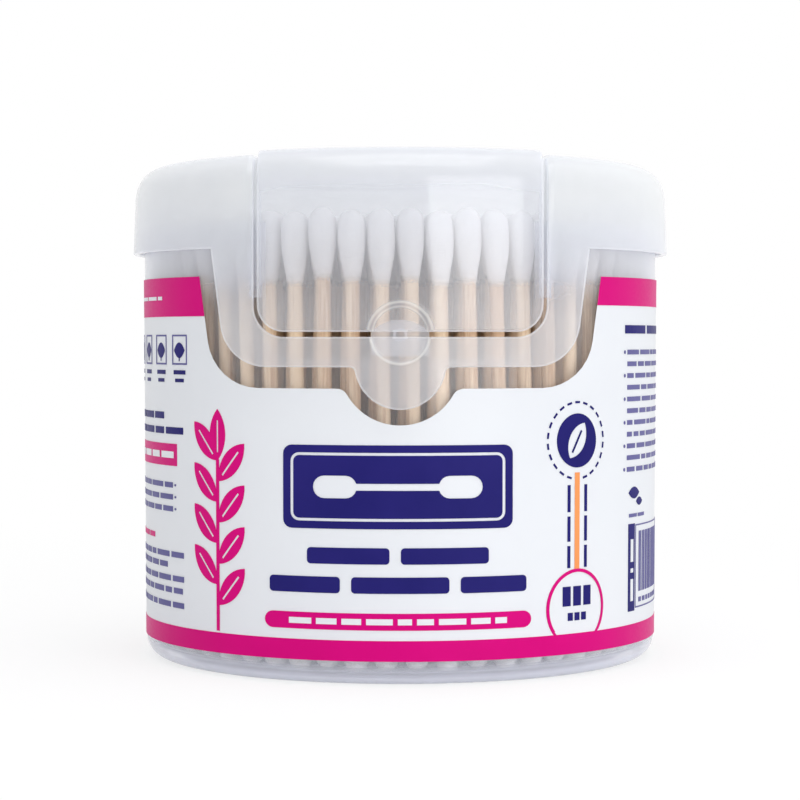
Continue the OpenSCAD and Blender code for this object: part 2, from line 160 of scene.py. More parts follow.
def place(tree, scale=(1, 1, 1)):
    """Place on the object, in metres, with each axis scaled."""
    return add(tree, "ShaderNodeMapping", {"Vector": on_object(tree), "Scale": scale}).outputs["Vector"]


def noise_of(tree, vector, scale, detail=3.0, rough=0.5):
    return add(tree, "ShaderNodeTexNoise",
               {"Vector": vector, "Scale": scale, "Detail": detail, "Roughness": rough}).outputs["Fac"]


def spread(tree, value, low, high, from_low=0.3, from_high=0.7):
    """A value carried over to the range from low to high. The other range is that of noise, if not given."""
    return add(tree, "ShaderNodeMapRange", {"Value": value, "From Min": from_low, "From Max": from_high,
                                            "To Min": low, "To Max": high}).outputs["Result"]


def two_colours(tree, value, first, second, from_low=0.3, from_high=0.7):
    ramp = add(tree, "ShaderNodeValToRGB", {"Fac": value})
    ramp.color_ramp.elements[0].position = from_low
    ramp.color_ramp.elements[1].position = from_high
    ramp.color_ramp.elements[0].color = (*first, 1)
    ramp.color_ramp.elements[1].color = (*second, 1)
    return ramp.outputs["Color"]


def bump(tree, height, strength, distance):
    return add(tree, "ShaderNodeBump", {"Height": height, "Strength": strength,
                                        "Distance": distance}).outputs["Normal"]


def output(tree, shader):
    add(tree, "ShaderNodeOutputMaterial", {"Surface": shader.outputs[0]})


# Materials

STRAIGHT_GLOSS = 0.035  # what a thin sheet reflects straight on
GRAZING_GLOSS = 0.7     # what is added at a grazing angle
RAMP_TOP = 100          # height at the end of a ramp that runs from the base up
THROUGH = 0.4           # of the light that a sheet scatters, the share that leaves at its other side
CLEAR = (0.992, 0.993, 0.998, 1)
LABEL_THROUGH = 0.14
COTTON_THROUGH = 0.25


def sheet_gloss(tree, normal):
    """Share that either face of a thin sheet reflects: a little straight on, and more at a grazing angle."""
    facing = add(tree, "ShaderNodeLayerWeight", {"Blend": 0.5, "Normal": normal}).outputs["Facing"]
    return calc(tree, "MULTIPLY_ADD", calc(tree, "POWER", facing, 5.0), GRAZING_GLOSS, STRAIGHT_GLOSS)


def by_height(tree, stops):
    """A value that changes with the height on the object: stops lists (height in millimetres, value)."""
    share = calc(tree, "MULTIPLY", part_of(tree, on_object(tree), "Z"), 1 / (RAMP_TOP * MM))
    ramp = add(tree, "ShaderNodeValToRGB", {"Fac": share})
    ramp.color_ramp.interpolation = "EASE"
    marks = ramp.color_ramp.elements
    while len(marks) < len(stops):
        marks.new(0.5)
    for mark, (z, value) in zip(marks, stops):
        mark.position = z / RAMP_TOP
        mark.color = (value, value, value, 1)
    return ramp.outputs["Color"]


def dish_painted_highlights(tree, lines):
    """Cover added in thin lines round the thumb dish: painted highlights along its wall and bead, where the
    bead also has somewhat thicker plastic. lines lists (radius, half width, cover), with lengths in
    millimetres."""
    where = on_object(tree)
    flat = vector_calc(tree, "ADD", where, (0, 0, -DISH_Z * MM)).outputs["Vector"]
    flat = vector_calc(tree, "MULTIPLY", flat, (1, 0, 1)).outputs["Vector"]
    away = vector_calc(tree, "LENGTH", flat).outputs["Value"]
    front = calc(tree, "LESS_THAN", part_of(tree, where, "Y"), 0.0)
    total = 0.0
    for radius, half_w, cover in lines:
        off = calc(tree, "ABSOLUTE", calc(tree, "SUBTRACT", away, radius * MM))
        peak = add(tree, "ShaderNodeMapRange", {
            "Value": off, "From Min": 0.0, "From Max": half_w * MM, "To Min": cover, "To Max": 0.0},
            interpolation_type="SMOOTHSTEP")
        total = calc(tree, "ADD", peak.outputs["Result"], total)
    return calc(tree, "MULTIPLY", total, front)


def along_the_sheet(tree, share):
    """The share that a sheet scatters, raised where the view runs through more of it."""
    facing = add(tree, "ShaderNodeLayerWeight", {"Blend": 0.5}).outputs["Facing"]
    longer = calc(tree, "DIVIDE", 1.0, calc(tree, "SUBTRACT", 1.04, facing))
    clear = calc(tree, "SUBTRACT", 1.0, share, use_clamp=True)
    return calc(tree, "SUBTRACT", 1.0, calc(tree, "POWER", clear, longer), use_clamp=True)


def milky(name, cover, tint, roughness, grain, lines=()):
    """Thin natural plastic: a share of the light goes straight through, the rest is scattered, and the skin
    is glossy. cover lists the share that one surface scatters by height, and lines the painted highlight
    lines round the thumb dish."""
    made, tree = new_tree(name)
    at = place(tree)
    cloud = noise_of(tree, at, 55.0)
    share = calc(tree, "MULTIPLY", by_height(tree, cover), spread(tree, cloud, 0.93, 1.07))
    # whiter lines round the thumb dish: painted highlights of its wall and bead
    if lines:
        share = calc(tree, "ADD", share, dish_painted_highlights(tree, lines))
    colour = two_colours(tree, share, THIN_TINT, tint, 0.2, 0.5)
    share = along_the_sheet(tree, share)
    skin = bump(tree, noise_of(tree, place(tree, (1, 1, 0.6)), 130.0, 1.0), grain, 0.0012)
    near = add(tree, "ShaderNodeBsdfDiffuse", {"Color": colour, "Normal": skin})
    far = add(tree, "ShaderNodeBsdfTranslucent", {"Color": colour, "Normal": skin})
    clear = add(tree, "ShaderNodeBsdfTransparent", {"Color": CLEAR})
    body = mixed(tree, share, clear, mixed(tree, THROUGH, near, far))
    gloss = add(tree, "ShaderNodeBsdfAnisotropic", {
        "Color": (1, 1, 1, 1), "Roughness": spread(tree, cloud, roughness * 0.85, roughness * 1.15),
        "Normal": skin})
    output(tree, mixed(tree, sheet_gloss(tree, skin), body, gloss))
    return made


def label_film():
    made, tree = new_tree("label_film")
    at = place(tree)
    wave = noise_of(tree, at, 40.0)
    fine = noise_of(tree, at, 2500.0, 2.0)
    shader = add(tree, "ShaderNodeBsdfPrincipled", {
        "Base Color": two_colours(tree, wave, (0.80, 0.825, 0.865), (0.82, 0.845, 0.88)),
        "Roughness": spread(tree, fine, 0.30, 0.38),
        "Normal": bump(tree, calc(tree, "ADD", wave, fine), 0.12, 0.0001)})
    through = add(tree, "ShaderNodeBsdfTranslucent", {"Color": (0.95, 0.95, 0.96, 1)})
    output(tree, mixed(tree, LABEL_THROUGH, shader, through))
    return made


def ink(name, light, dark):
    made, tree = new_tree(name)
    at = place(tree)
    shader = add(tree, "ShaderNodeBsdfPrincipled", {
        "Base Color": two_colours(tree, noise_of(tree, at, 90.0), dark, light),
        "Roughness": spread(tree, noise_of(tree, at, 1800.0, 2.0), 0.34, 0.42),
        "Specular IOR Level": 0.06,
        "Normal": bump(tree, noise_of(tree, at, 2600.0, 2.0), 0.08, 0.0001)})
    output(tree, shader)
    return made


def birch():
    made, tree = new_tree("birch_wood")
    grain = noise_of(tree, place(tree, (1, 1, 0.035)), 2600.0, 3.0, 0.6)
    each = noise_of(tree, place(tree, (1, 1, 0.02)), 190.0, 1.0)
    tone = calc(tree, "ADD", grain, each)
    shader = add(tree, "ShaderNodeBsdfPrincipled", {
        "Base Color": two_colours(tree, tone, (0.68, 0.45, 0.28), (0.93, 0.72, 0.50), 0.78, 1.2),
        "Roughness": spread(tree, grain, 0.55, 0.72),
        "Normal": bump(tree, grain, 0.35, 0.0001)})
    output(tree, shader)
    return made


def cotton():
    made, tree = new_tree("cotton")
    wound = noise_of(tree, place(tree, (0.35, 0.35, 1.6)), 1500.0, 4.0, 0.65)
    fluff = noise_of(tree, place(tree), 3200.0, 3.0, 0.7)
    both = calc(tree, "ADD", wound, fluff)
    shader = add(tree, "ShaderNodeBsdfPrincipled", {
        "Base Color": two_colours(tree, both, (0.94, 0.94, 0.945), (0.98, 0.98, 0.98), 0.75, 1.2),
        "Roughness": 0.95,
        "Specular IOR Level": 0.15,
        "Sheen Weight": 0.25,
        "Sheen Roughness": 0.5,
        "Normal": bump(tree, both, 0.5, 0.0003)})
    glow = add(tree, "ShaderNodeBsdfTranslucent", {"Color": (0.97, 0.97, 0.97, 1)})
    soft = mixed(tree, COTTON_THROUGH, shader, glow)
    thin = add(tree, "ShaderNodeAttribute", attribute_name="thin").outputs["Fac"]
    ragged = calc(tree, "MULTIPLY", thin, spread(tree, fluff, 0.5, 1.3), use_clamp=True)
    output(tree, mixed(tree, ragged, soft, add(tree, "ShaderNodeBsdfTransparent")))
    return made


DISH_Z = 55.9           # middle of the thumb dish
THIN_TINT = (0.89, 0.91, 0.98)
LID_TINT = (0.89, 0.905, 0.905)
TUB_PLASTIC = milky("tub_plastic", [(1.3, 0.55), (2.4, 0.26), (3.8, 0.07), (60, 0.06), (66, 0.22)],
                    (0.88, 0.90, 1.0), 0.08, 0.02)
# The last list of lid and flap gives painted highlight lines round the thumb dish
LID_PLASTIC = milky("lid_plastic",
                    [(57, 0.30), (63, 0.23), (70, 0.33), (75, 0.40), (79, 0.45), (83, 0.44), (85.7, 0.28)],
                    LID_TINT, 0.14, 0.05, [(4.7, 0.33, 0.24)])
FLAP_PLASTIC = milky("flap_plastic", [(58, 0.25), (64, 0.19), (77, 0.22), (84, 0.38), (85.7, 0.28)],
                     LID_TINT, 0.07, 0.10, [(5.1, 0.36, 0.28), (4.35, 0.28, 0.2)])
# Whiter, more opaque plastic for the rounded rims: a painted highlight for the bright lines that the edges
# catch
RIM_PAINTED_HIGHLIGHT = milky("rim_painted_highlight", [(50, 0.36), (80, 0.36)], (0.97, 0.98, 1.0), 0.10, 0.03)
LABEL_FILM = label_film()
MAGENTA = ink("magenta_ink", (0.62, 0.001, 0.185), (0.585, 0.001, 0.172))
NAVY = ink("navy_ink", (0.019, 0.0155, 0.15), (0.014, 0.012, 0.128))
FINE_NAVY = ink("fine_navy_ink", (0.13, 0.125, 0.30), (0.11, 0.105, 0.27))
ORANGE = ink("orange_ink", (0.86, 0.32, 0.11), (0.80, 0.285, 0.095))
BIRCH = birch()
COTTON = cotton()


# Swabs

def swab_frames():
    """The frame of each swab: Z along it, and the origin at the middle of its lower dome. The angles are
    those of the solids, in degrees."""
    def at(k, i, end):
        if k == 0:
            return 0.0, 0.0
        own = SWAB_SWAY * math.sin(math.radians(300 * i / k + 70 * k))
        whole = RING_TWIST * math.cos(math.pi * k) * math.sin(math.radians(50 * k + 40))
        a = math.radians(60 * i / k + 17 * k + end * (whole + own))
        r = OUTER_RING_R - (RING_COUNT - k) * RING_STEP
        return r * math.cos(a), r * math.sin(a)

    for k in range(RING_COUNT + 1):
        for i in range(max(6 * k, 1)):
            low, high = at(k, i, -1), at(k, i, 1)
            lift = SWAB_LIFT * (0.5 + 0.5 * math.sin(math.radians(137.5 * i + 61 * k)))
            along = Vector((high[0] - low[0], high[1] - low[1], SWAB_L - 2 * TIP_R)).normalized()
            turn = Vector((0, 0, 1)).rotation_difference(along).to_matrix().to_4x4()
            yield Matrix.Translation((low[0], low[1], FLOOR_Z + TIP_R + lift)) @ turn


def lathe(rings, sides, points, faces, frame_of, wobble=None):
    """Adds a closed turned form: rings is a list of (radius, height), with radius 0 at both ends."""
    start = len(points)
    for k, (radius, height) in enumerate(rings):
        for s in range(1 if radius == 0 else sides):
            a = TAU * s / sides
            r = radius * (1 + (wobble(k, a) if wobble and radius else 0))
            points.append(frame_of @ Vector((r * math.cos(a), r * math.sin(a), height)))
    first = start + 1
    last = len(points) - 1
    for s in range(sides):
        t = (s + 1) % sides
        faces.append((start, first + t, first + s))
        for k in range(len(rings) - 3):
            a, b = first + k * sides, first + (k + 1) * sides
            faces.append((a + s, a + t, b + t, b + s))
        a = first + (len(rings) - 3) * sides
        faces.append((a + s, a + t, last))


STICK_SIDES = 12
TIP_SIDES = 16
# Radius of the wound tip by the distance from its end, as (distance, radius)
TIP_FORM = [(0.0, 0.0), (0.12, 0.72), (0.42, 1.24), (0.90, 1.68), (1.6, 2.0), (2.5, 2.17), (3.7, 2.2),
            (5.4, 2.2), (7.0, 2.06), (8.4, 1.84), (9.8, 1.58), (11.0, 1.36), (11.9, 1.24), (12.3, 1.19),
            (12.3, 0.0)]
TIP_WIDTHS = (0.97, 1.03)       # a tip's width and reach, as shares of the form
TIP_REACHES = (0.94, 1.03)
TIP_UNEVEN = 0.035
RAGGED_END = (10.6, 12.4)       # the cotton thins out here, by the distance from the tip's end
SWAB_SEED = 11


def swabs():
    draw = random.Random(SWAB_SEED)
    sticks, stick_faces = [], []
    tips = {-1: ([], []), 1: ([], [])}
    rings = [(radius, far - TIP_R) for far, radius in TIP_FORM]
    low, high = TIP_L - TIP_R - STICK_DEPTH, SWAB_L - TIP_L - TIP_R + STICK_DEPTH
    stick = [(0.0, low), (STICK_R, low), (STICK_R, high), (0.0, high)]
    far_end = Matrix.Translation((0, 0, SWAB_L - 2 * TIP_R))
    turned_over = Matrix.Rotation(math.pi, 4, "X")
    for where in swab_frames():
        lathe(stick, STICK_SIDES, sticks, stick_faces, where)
        for end, (points, faces) in tips.items():
            seed = Vector((draw.uniform(0, 100), draw.uniform(0, 100), draw.uniform(0, 100)))
            size = draw.uniform(*TIP_WIDTHS)
            reach = draw.uniform(*TIP_REACHES)
            form = [(r, (z + TIP_R) * (reach if z > 2 else 1) - TIP_R) for r, z in rings]

            def wobble(k, a, seed=seed, size=size):
                p = Vector((math.cos(a) * 0.9, math.sin(a) * 0.9, k * 0.45))
                return size - 1 + TIP_UNEVEN * noise.noise(p + seed)

            own = where if end < 0 else where @ far_end @ turned_over
            lathe(form, TIP_SIDES, points, faces, own, wobble)
    wood = mesh_piece("wooden_swab_sticks", sticks, stick_faces, BIRCH)
    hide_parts("wooden_sticks")
    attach(wood, "tub")
    for end, name, stood_for in ((1, "upper_wound_tips", "upper_cotton_tips"),
                                 (-1, "lower_wound_tips", "lower_cotton_tips")):
        piece = mesh_piece(name, *tips[end], COTTON)
        one = []
        for far, radius in TIP_FORM:
            one += [smooth_step(*RAGGED_END, far)] * (TIP_SIDES if radius else 1)
        thin = piece.data.attributes.new("thin", "FLOAT", "POINT")
        thin.data.foreach_set("value", one * (len(tips[end][0]) // len(one)))
        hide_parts(stood_for)
        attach(piece, "tub")


swabs()


# Lid and flap: sheets with rounded rims

SKIRT_R = 46.85
SKIRT_Z = 69.8
SHOULDER_OUTER_R = 46.5
SHOULDER_Z = 78.0
SHOULDER_X = 38.6
SHOULDER_R = 7.9        # the shoulder is a superellipse that runs out straight at both ends
SHOULDER_POWER = 0.8
LID_Z = 85.9
LID_WALL = 1.1
SKIRT_INNER_R = SKIRT_R - LID_WALL
HEAD_R = 44.9           # inside of the lid above the tub's rim
HEAD_EDGE_R = HEAD_R - SHOULDER_X
OPENING_X = 23.45
SLOT_Z = 55.5
OPENING_R = 4.95
APRON_TOP_X = 30.7
APRON_LOW = (28.2, 50.7)
APRON_R = 7.6
TONGUE_Z = 51.25
TONGUE_R = 7.25
TONGUE_FILLET = 0.9
FLAP_X = 22.9
FLAP_Z = 56.3
FLAP_R = 4.4
HINGE_Y = -8.0
HINGE_GAP = 0.8
HINGE_WEB_T = 0.35
REBATE_W = 1.3
REBATE_T = 0.6
DISH_R = 4.7
DISH_T = 0.45
DISH_BEAD_W = 0.9
DISH_BEAD_T = 0.22
SNAP_R = 45.6           # inner face of the snap segments
SNAP_COUNT = 6
SNAP_TURN = 14.0
STOP_X = 4.6
STOP_R = (44.75, 45.45)
STOP_Z = (52.5, 55.3, 58.2)     # foot, end of the root on the lid, crown
STOP_CROWN_R = 6.52
LEDGE_X = (22.2, 24.2)  # ledge behind the gap at the flap's sides
LEDGE_RIB_X = 23.8      # the rib that carries it below the tub's rim starts here
LEDGE_R = (45.02, 45.32)
LEDGE_Z = 61.8
LEDGE_SIZE = (6.35, 6.7)        # sizes of its inner and outer face on the shoulder
GATE_R = (0.72, 1.12)
GATE_T = 0.16
GATE_Z = 55.8
GATE_SIDES = 24
SNAP_FOOT = 0.4         # height of the snap segments' foot above the skirt's
SNAP_RISE = (0.0, 0.45, 0.95, 1.4)
HAIR = 0.02             # how far a fitting stays off what is beside it, or goes into it
EDGE = 0.3              # radius of the rounded rims
EDGE_STEPS = 3
SHARP_ANGLE = 50
WELD = 2e-6             # in metres


def sheet(points, faces, rims, drawn_in, full, runs):
    """Adds a curved sheet from two grids of points, the outer and the inner skin. drawn_in stops short of
    the border, and a rounded rim leads from there to the border of full. Each run is a list of places
    (row, column) along the border. Returns the rim's point numbers by place."""
    numbers = []
    for grid in drawn_in:
        side = []
        for row in grid:
            side.append(list(range(len(points), len(points) + len(row))))
            points.extend(row)
        numbers.append(side)
        for i in range(len(side) - 1):
            for j in range(len(side[0]) - 1):
                faces.append((side[i][j], side[i][j + 1], side[i + 1][j + 1], side[i + 1][j]))
    loops = {}

    def rim_at(place):
        if place not in loops:
            i, j = place
            skins = [(grid[i][j], whole[i][j]) for grid, whole in zip(drawn_in, full)]
            through = (skins[1][1] - skins[0][1]).normalized() * EDGE
            loop = [numbers[0][i][j]]
            for (start, end), way, angles in ((skins[0], through, range(1, EDGE_STEPS + 1)),
                                              (skins[1], -through, range(EDGE_STEPS, 0, -1))):
                for k in angles:
                    b = math.pi / 2 * k / EDGE_STEPS
                    points.append(start.lerp(end, math.sin(b)) + way * (1 - math.cos(b)))
                    loop.append(len(points) - 1)
            loop.append(numbers[1][i][j])
            loops[place] = loop
        return loops[place]

    for run in runs:
        for here, there in zip(run, run[1:]):
            a, b = rim_at(here), rim_at(there)
            rims.extend((a[k], b[k], b[k + 1], a[k + 1]) for k in range(len(a) - 1))
    return loops


def box_between(points, faces, grid):
    """Adds a closed form from a list of rings with as many points each."""
    start, sides = len(points), len(grid[0])
    for ring in grid:
        points.extend(ring)
    for k in range(len(grid) - 1):
        a, b = start + k * sides, start + (k + 1) * sides
        faces.extend((a + s, a + (s + 1) % sides, b + (s + 1) % sides, b + s) for s in range(sides))
    faces.append(tuple(range(start + sides - 1, start - 1, -1)))
    faces.append(tuple(range(start + (len(grid) - 1) * sides, start + len(grid) * sides)))


def in_the_dish(corners):
    """Whether a rim's face lies on the thumb dish, where rims get no painted highlight, and not on the gate
    mark.
    """
    gate = Vector((0, GATE_Z))
    return (all(abs(p.x) < DISH_R and abs(p.z - DISH_Z) < 1.0 for p in corners) and
            min((p.xz - gate).length for p in corners) > GATE_R[1] + 0.1)


def sheet_piece(name, points, faces, rims, material):
    """A piece from sheets that share border points, welded into closed forms. Its rims get a whiter, more
    opaque plastic as a painted highlight.
    """
    piece = mesh_piece(name, points, faces + rims, material)
    piece.data.materials.append(RIM_PAINTED_HIGHLIGHT)
    # rim faces off the thumb dish get the painted highlight plastic
    slots = [0] * len(faces) + [0 if in_the_dish([points[n] for n in face]) else 1 for face in rims]
    piece.data.polygons.foreach_set("material_index", slots)
    form = bmesh.new()
    form.from_mesh(piece.data)
    bmesh.ops.remove_doubles(form, verts=form.verts, dist=WELD)
    bmesh.ops.recalc_face_normals(form, faces=form.faces)
    form.to_mesh(piece.data)
    form.free()
    piece.data.set_sharp_from_angle(angle=math.radians(SHARP_ANGLE))
    return piece


def skin_r(z):
    """Outer radius of lid and flap at height z, below the shoulder."""
    return SKIRT_R + (SHOULDER_OUTER_R - SKIRT_R) * max(z - SKIRT_Z, 0) / (SHOULDER_Z - SKIRT_Z)


def shoulder(a, r):
    """Radius and height on the shoulder at angle a from the horizontal, at size r."""
    return (SHOULDER_X + r * max(math.cos(a), 0) ** SHOULDER_POWER,
            SHOULDER_Z + r * math.sin(a) ** SHOULDER_POWER)


def on_front(x, r, z):
    return Vector((x, -math.sqrt(r * r - x * x), z))


def dish_depth(x, z):
    """How deep the outer skin lies below its plain form at the thumb dish. The bead is a negative depth."""
    away = math.hypot(x, z - DISH_Z)
    depth = DISH_T * (1 - smooth_step(DISH_R - 0.4, DISH_R + 0.1, away))
    if z > (SLOT_Z + FLAP_Z) / 2:
        ridge = abs(away - DISH_R - DISH_BEAD_W / 2) / (DISH_BEAD_W / 2)
        depth -= DISH_BEAD_T * (1 - smooth_step(0.2, 1.0, ridge))
    return depth


def rebate_depth(x, z):
    """How deep the lid's skin falls off towards the opening's side edge."""
    fall = min(max(1 - (abs(x) - OPENING_X) / REBATE_W, 0), 1)
    return REBATE_T * fall ** 1.6 * smooth_step(FLAP_Z + FLAP_R, LID_Z, z)


FINE_Z = 62.6           # the flap's grid is fine up to here, round the thumb dish
FINE_STEP = 0.2         # and as wide as this across it
FINE_COLUMNS = 31
SIDE_COLUMNS = 12
CORNER_COLUMNS = 8
FLAP_LOW_ROWS = 30
FLAP_UPPER_ROWS = 10
FLAP_TOP_ROWS = 6
DOME_ROWS = 14


def flap_grids(edge):
    """The flap's outer and inner skin, drawn in from its border by edge."""
    half_w, low_z, corner = FLAP_X - edge, FLAP_Z + edge, FLAP_R - edge
    straight = half_w - corner
    half = [FINE_STEP * k for k in range(FINE_COLUMNS + 1)]
    half += steps(half[-1], straight, SIDE_COLUMNS)
    half += [straight + corner * math.sin(turn) for turn in steps(0, math.pi / 2, CORNER_COLUMNS)]
    across = [-x for x in reversed(half[1:])] + half
    low = [low_z + corner - math.sqrt(max(corner ** 2 - max(abs(x) - straight, 0) ** 2, 0)) for x in across]
    outer, inner = [], []
    for k in range(FLAP_LOW_ROWS + 1):
        heights = [z + (FINE_Z - z) * k / FLAP_LOW_ROWS for z in low]
        outer.append([on_front(x, SKIRT_R - dish_depth(x, z), z) for x, z in zip(across, heights)])
        inner.append([on_front(x, SKIRT_INNER_R, z) for x, z in zip(across, heights)])
    for z in steps(FINE_Z, SHOULDER_Z, FLAP_UPPER_ROWS):
        outer.append([on_front(x, skin_r(z), z) for x in across])
        inner.append([on_front(x, skin_r(z) - LID_WALL, z) for x in across])
    for a in steps(0, math.pi / 2, DOME_ROWS):
        for grid, r in ((outer, SHOULDER_R), (inner, SHOULDER_R - LID_WALL)):
            grid.append([on_front(x, *shoulder(a, r)) for x in across])
    for grid, z in ((outer, LID_Z), (inner, LID_Z - LID_WALL)):
        front = [p.y for p in grid[-1]]
        for t in steps(0, 1, FLAP_TOP_ROWS):
            grid.append([Vector((x, y + (HINGE_Y - edge - y) * t, z)) for x, y in zip(across, front)])
    return outer, inner


def flap():
    drawn_in, full = flap_grids(EDGE), flap_grids(0)
    last, end = len(full[0]) - 1, len(full[0][0]) - 1
    points, faces, rims = [], [], []
    sheet(points, faces, rims, drawn_in, full,
          [[(0, j) for j in range(end + 1)], [(i, 0) for i in range(last + 1)],
           [(i, end) for i in range(last + 1)], [(last, j) for j in range(end + 1)]])
    piece = sheet_piece("flip_up_flap", points, faces, rims, FLAP_PLASTIC)
    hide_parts("flap")
    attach(piece, "flap")


APRON_STEPS = 12        # points along the outlines of opening and apron: round the corner,
FILLET_STEPS = 5        # round the fillet and the tongue,
TONGUE_STEPS = 32
SIDE_STEPS = 14         # down the side and along the foot
FOOT_STEPS = 10


def arc_points(centre, r, start, end, count):
    turns = [math.radians(start + (end - start) * k / count) for k in range(count + 1)]
    return [(centre[0] + r * math.cos(a), centre[1] + r * math.sin(a)) for a in turns]


def between(start, end, t):
    return start[0] + (end[0] - start[0]) * t, start[1] + (end[1] - start[1]) * t


def line_points(start, end, count):
    """Points between start and end, without either."""
    return [between(start, end, t) for t in steps(0, 1, count)[:-1]]


def band_outlines(edge):
    """Right half of the opening's outline and of the apron's, from the skirt to the middle, with as many
    points. edge draws both into the band between them."""
    side_x, low_z = APRON_LOW
    along = Vector((APRON_TOP_X - side_x, SKIRT_Z - low_z)).normalized()
    out = Vector((along.y, -along.x))
    rise = edge * (1 + out.y) / along.y
    start = Vector((APRON_TOP_X, SKIRT_Z)) - out * edge + along * rise
    tangent = APRON_R / math.tan((math.pi - math.acos(along.x)) / 2)
    centre = (side_x - tangent, low_z + APRON_R)
    start_turn = math.degrees(math.atan2(out.y, out.x))
    drop = low_z - TONGUE_FILLET - TONGUE_Z
    fillet_x = math.sqrt((TONGUE_R + TONGUE_FILLET) ** 2 - drop ** 2)
    turn = math.degrees(math.atan2(drop, fillet_x))
    corner = arc_points(centre, APRON_R - edge, start_turn, -90, APRON_STEPS)
    fillet = arc_points((fillet_x, low_z - TONGUE_FILLET), TONGUE_FILLET + edge, 90, 180 + turn,
                        FILLET_STEPS)
    tongue = arc_points((0, TONGUE_Z), TONGUE_R - edge, turn, -90, TONGUE_STEPS)
    outer = [tuple(start)] + line_points(start, corner[0], SIDE_STEPS) + corner
    outer += line_points(corner[-1], fillet[0], FOOT_STEPS) + fillet + tongue[1:]
    top = (OPENING_X + edge, SKIRT_Z + edge)
    foot = (fillet_x, SLOT_Z - edge)
    bend = arc_points((OPENING_X - OPENING_R, SLOT_Z + OPENING_R), OPENING_R + edge, 0, -90, APRON_STEPS)
    inner = [top] + line_points(top, bend[0], SIDE_STEPS) + bend
    inner += line_points(bend[-1], foot, FOOT_STEPS) + [foot]
    inner += [(x, SLOT_Z - edge) for x, _ in outer[len(inner):]]
    return inner, outer


CREST_DROP = 0.7        # the lid's top falls by this towards its shoulder
FLAT_R = 33.5
SKIRT_ROWS = (70.6, 71.4, 72.4, 73.4)   # heights where the lid's inside is narrow
STEP_ROWS = (73.9, 74.2)                # on both sides of the step over the tub's rim
HEAD_ROWS = (75.0, 76.0, 77.0)
CREST_ROWS = 4
BAND_STEPS = 40
BACK_STEPS = 96
COLUMNS = 2 * BAND_STEPS + BACK_STEPS
REBATE_OFFSETS = (0.6, 0.85, 1.08)      # columns across the rebate, from the opening's edge
REBATE_COLUMNS = len(REBATE_OFFSETS) + 1
STRIP_ROWS = 8
STRIP_END = 0.86        # the rebate runs out from this share of the strip on


def column_offsets(edge):
    """Distances from the opening's side edge to the skirt's columns above the apron."""
    first = [edge, *REBATE_OFFSETS, REBATE_W]
    last = band_outlines(edge)[1][0][0] - OPENING_X
    return first + steps(REBATE_W, last, BAND_STEPS - REBATE_COLUMNS)


def lid_profile(edge):
    """Rows of the skirt and shoulder as (outer radius, outer height, inner radius, inner height)."""
    rows = [(skin_r(z), z, SKIRT_INNER_R, z) for z in (SKIRT_Z + edge, *SKIRT_ROWS)]
    rows += [(skin_r(z), z, inner_r, TUB_H) for z, inner_r in zip(STEP_ROWS, (SKIRT_INNER_R, HEAD_R))]
    rows += [(skin_r(z), z, HEAD_R, z) for z in (*HEAD_ROWS, SHOULDER_Z)]
    inner_z = LID_Z - LID_WALL - HEAD_EDGE_R
    for a in steps(0, math.pi / 2, DOME_ROWS):
        fall = CREST_DROP * smooth_step(0, math.pi / 2, a)
        r, z = shoulder(a, SHOULDER_R)
        rows.append((r, z - fall,
                     SHOULDER_X + HEAD_EDGE_R * math.cos(a), inner_z + HEAD_EDGE_R * math.sin(a) - fall))
    for t in steps(0, 1, CREST_ROWS):
        r = SHOULDER_X + (FLAT_R - SHOULDER_X) * t
        fall = CREST_DROP * (1 - smooth_step(0, 1, t))
        rows.append((r, LID_Z - fall, r, LID_Z - LID_WALL - fall))
    return rows


def column_angle(c, r, offsets):
    """Angle from the front of column c at radius r: columns near the opening keep their X."""
    if c <= BAND_STEPS:
        return math.asin((OPENING_X + offsets[c]) / r)
    if c >= COLUMNS - BAND_STEPS:
        return TAU - column_angle(COLUMNS - c, r, offsets)
    first = column_angle(BAND_STEPS, r, offsets)
    return first + (TAU - 2 * first) * (c - BAND_STEPS) / BACK_STEPS


def skirt_grids(edge):
    """Skirt and shoulder from the opening's right edge round the back to its left edge."""
    offsets = column_offsets(edge)
    outer, inner = [], []
    for r, z, inner_r, inner_z in lid_profile(edge):
        rise = min(max(z - SHOULDER_Z, 0) / (SHOULDER_R - CREST_DROP), 1)
        flat = math.sqrt(max(1 - rise * rise, 0))
        row = []
        for c in range(COLUMNS + 1):
            a = column_angle(c, r, offsets)
            x, y = r * math.sin(a), -r * math.cos(a)
            if c <= REBATE_COLUMNS or c >= COLUMNS - REBATE_COLUMNS:
                fall = rebate_depth(x, z)
                row.append(on_front(x, r - fall * flat, z - fall * rise))
            else:
                row.append(Vector((x, y, z)))
        outer.append(row)
        turns = [column_angle(c, inner_r, offsets) for c in range(COLUMNS + 1)]
        inner.append([Vector((inner_r * math.sin(a), -inner_r * math.cos(a), inner_z)) for a in turns])
    return outer, inner


def band_grids(edge):
    """Apron and tongue below the skirt, with the same columns as the skirt above them."""
    offsets = column_offsets(edge)
    shares = [(x - offsets[0]) / (offsets[-1] - offsets[0]) for x in offsets]
    half = [[between(a, b, share) for share in shares] for a, b in zip(*band_outlines(edge))]
    whole = half + [[(-x, z) for x, z in line] for line in reversed(half[:-1])]
    outer = [[on_front(x, skin_r(z) - dish_depth(x, z) - rebate_depth(x, z), z) for x, z in line]
             for line in whole]
    inner = [[on_front(x, SKIRT_INNER_R, z) for x, z in line] for line in whole]
    return outer, inner


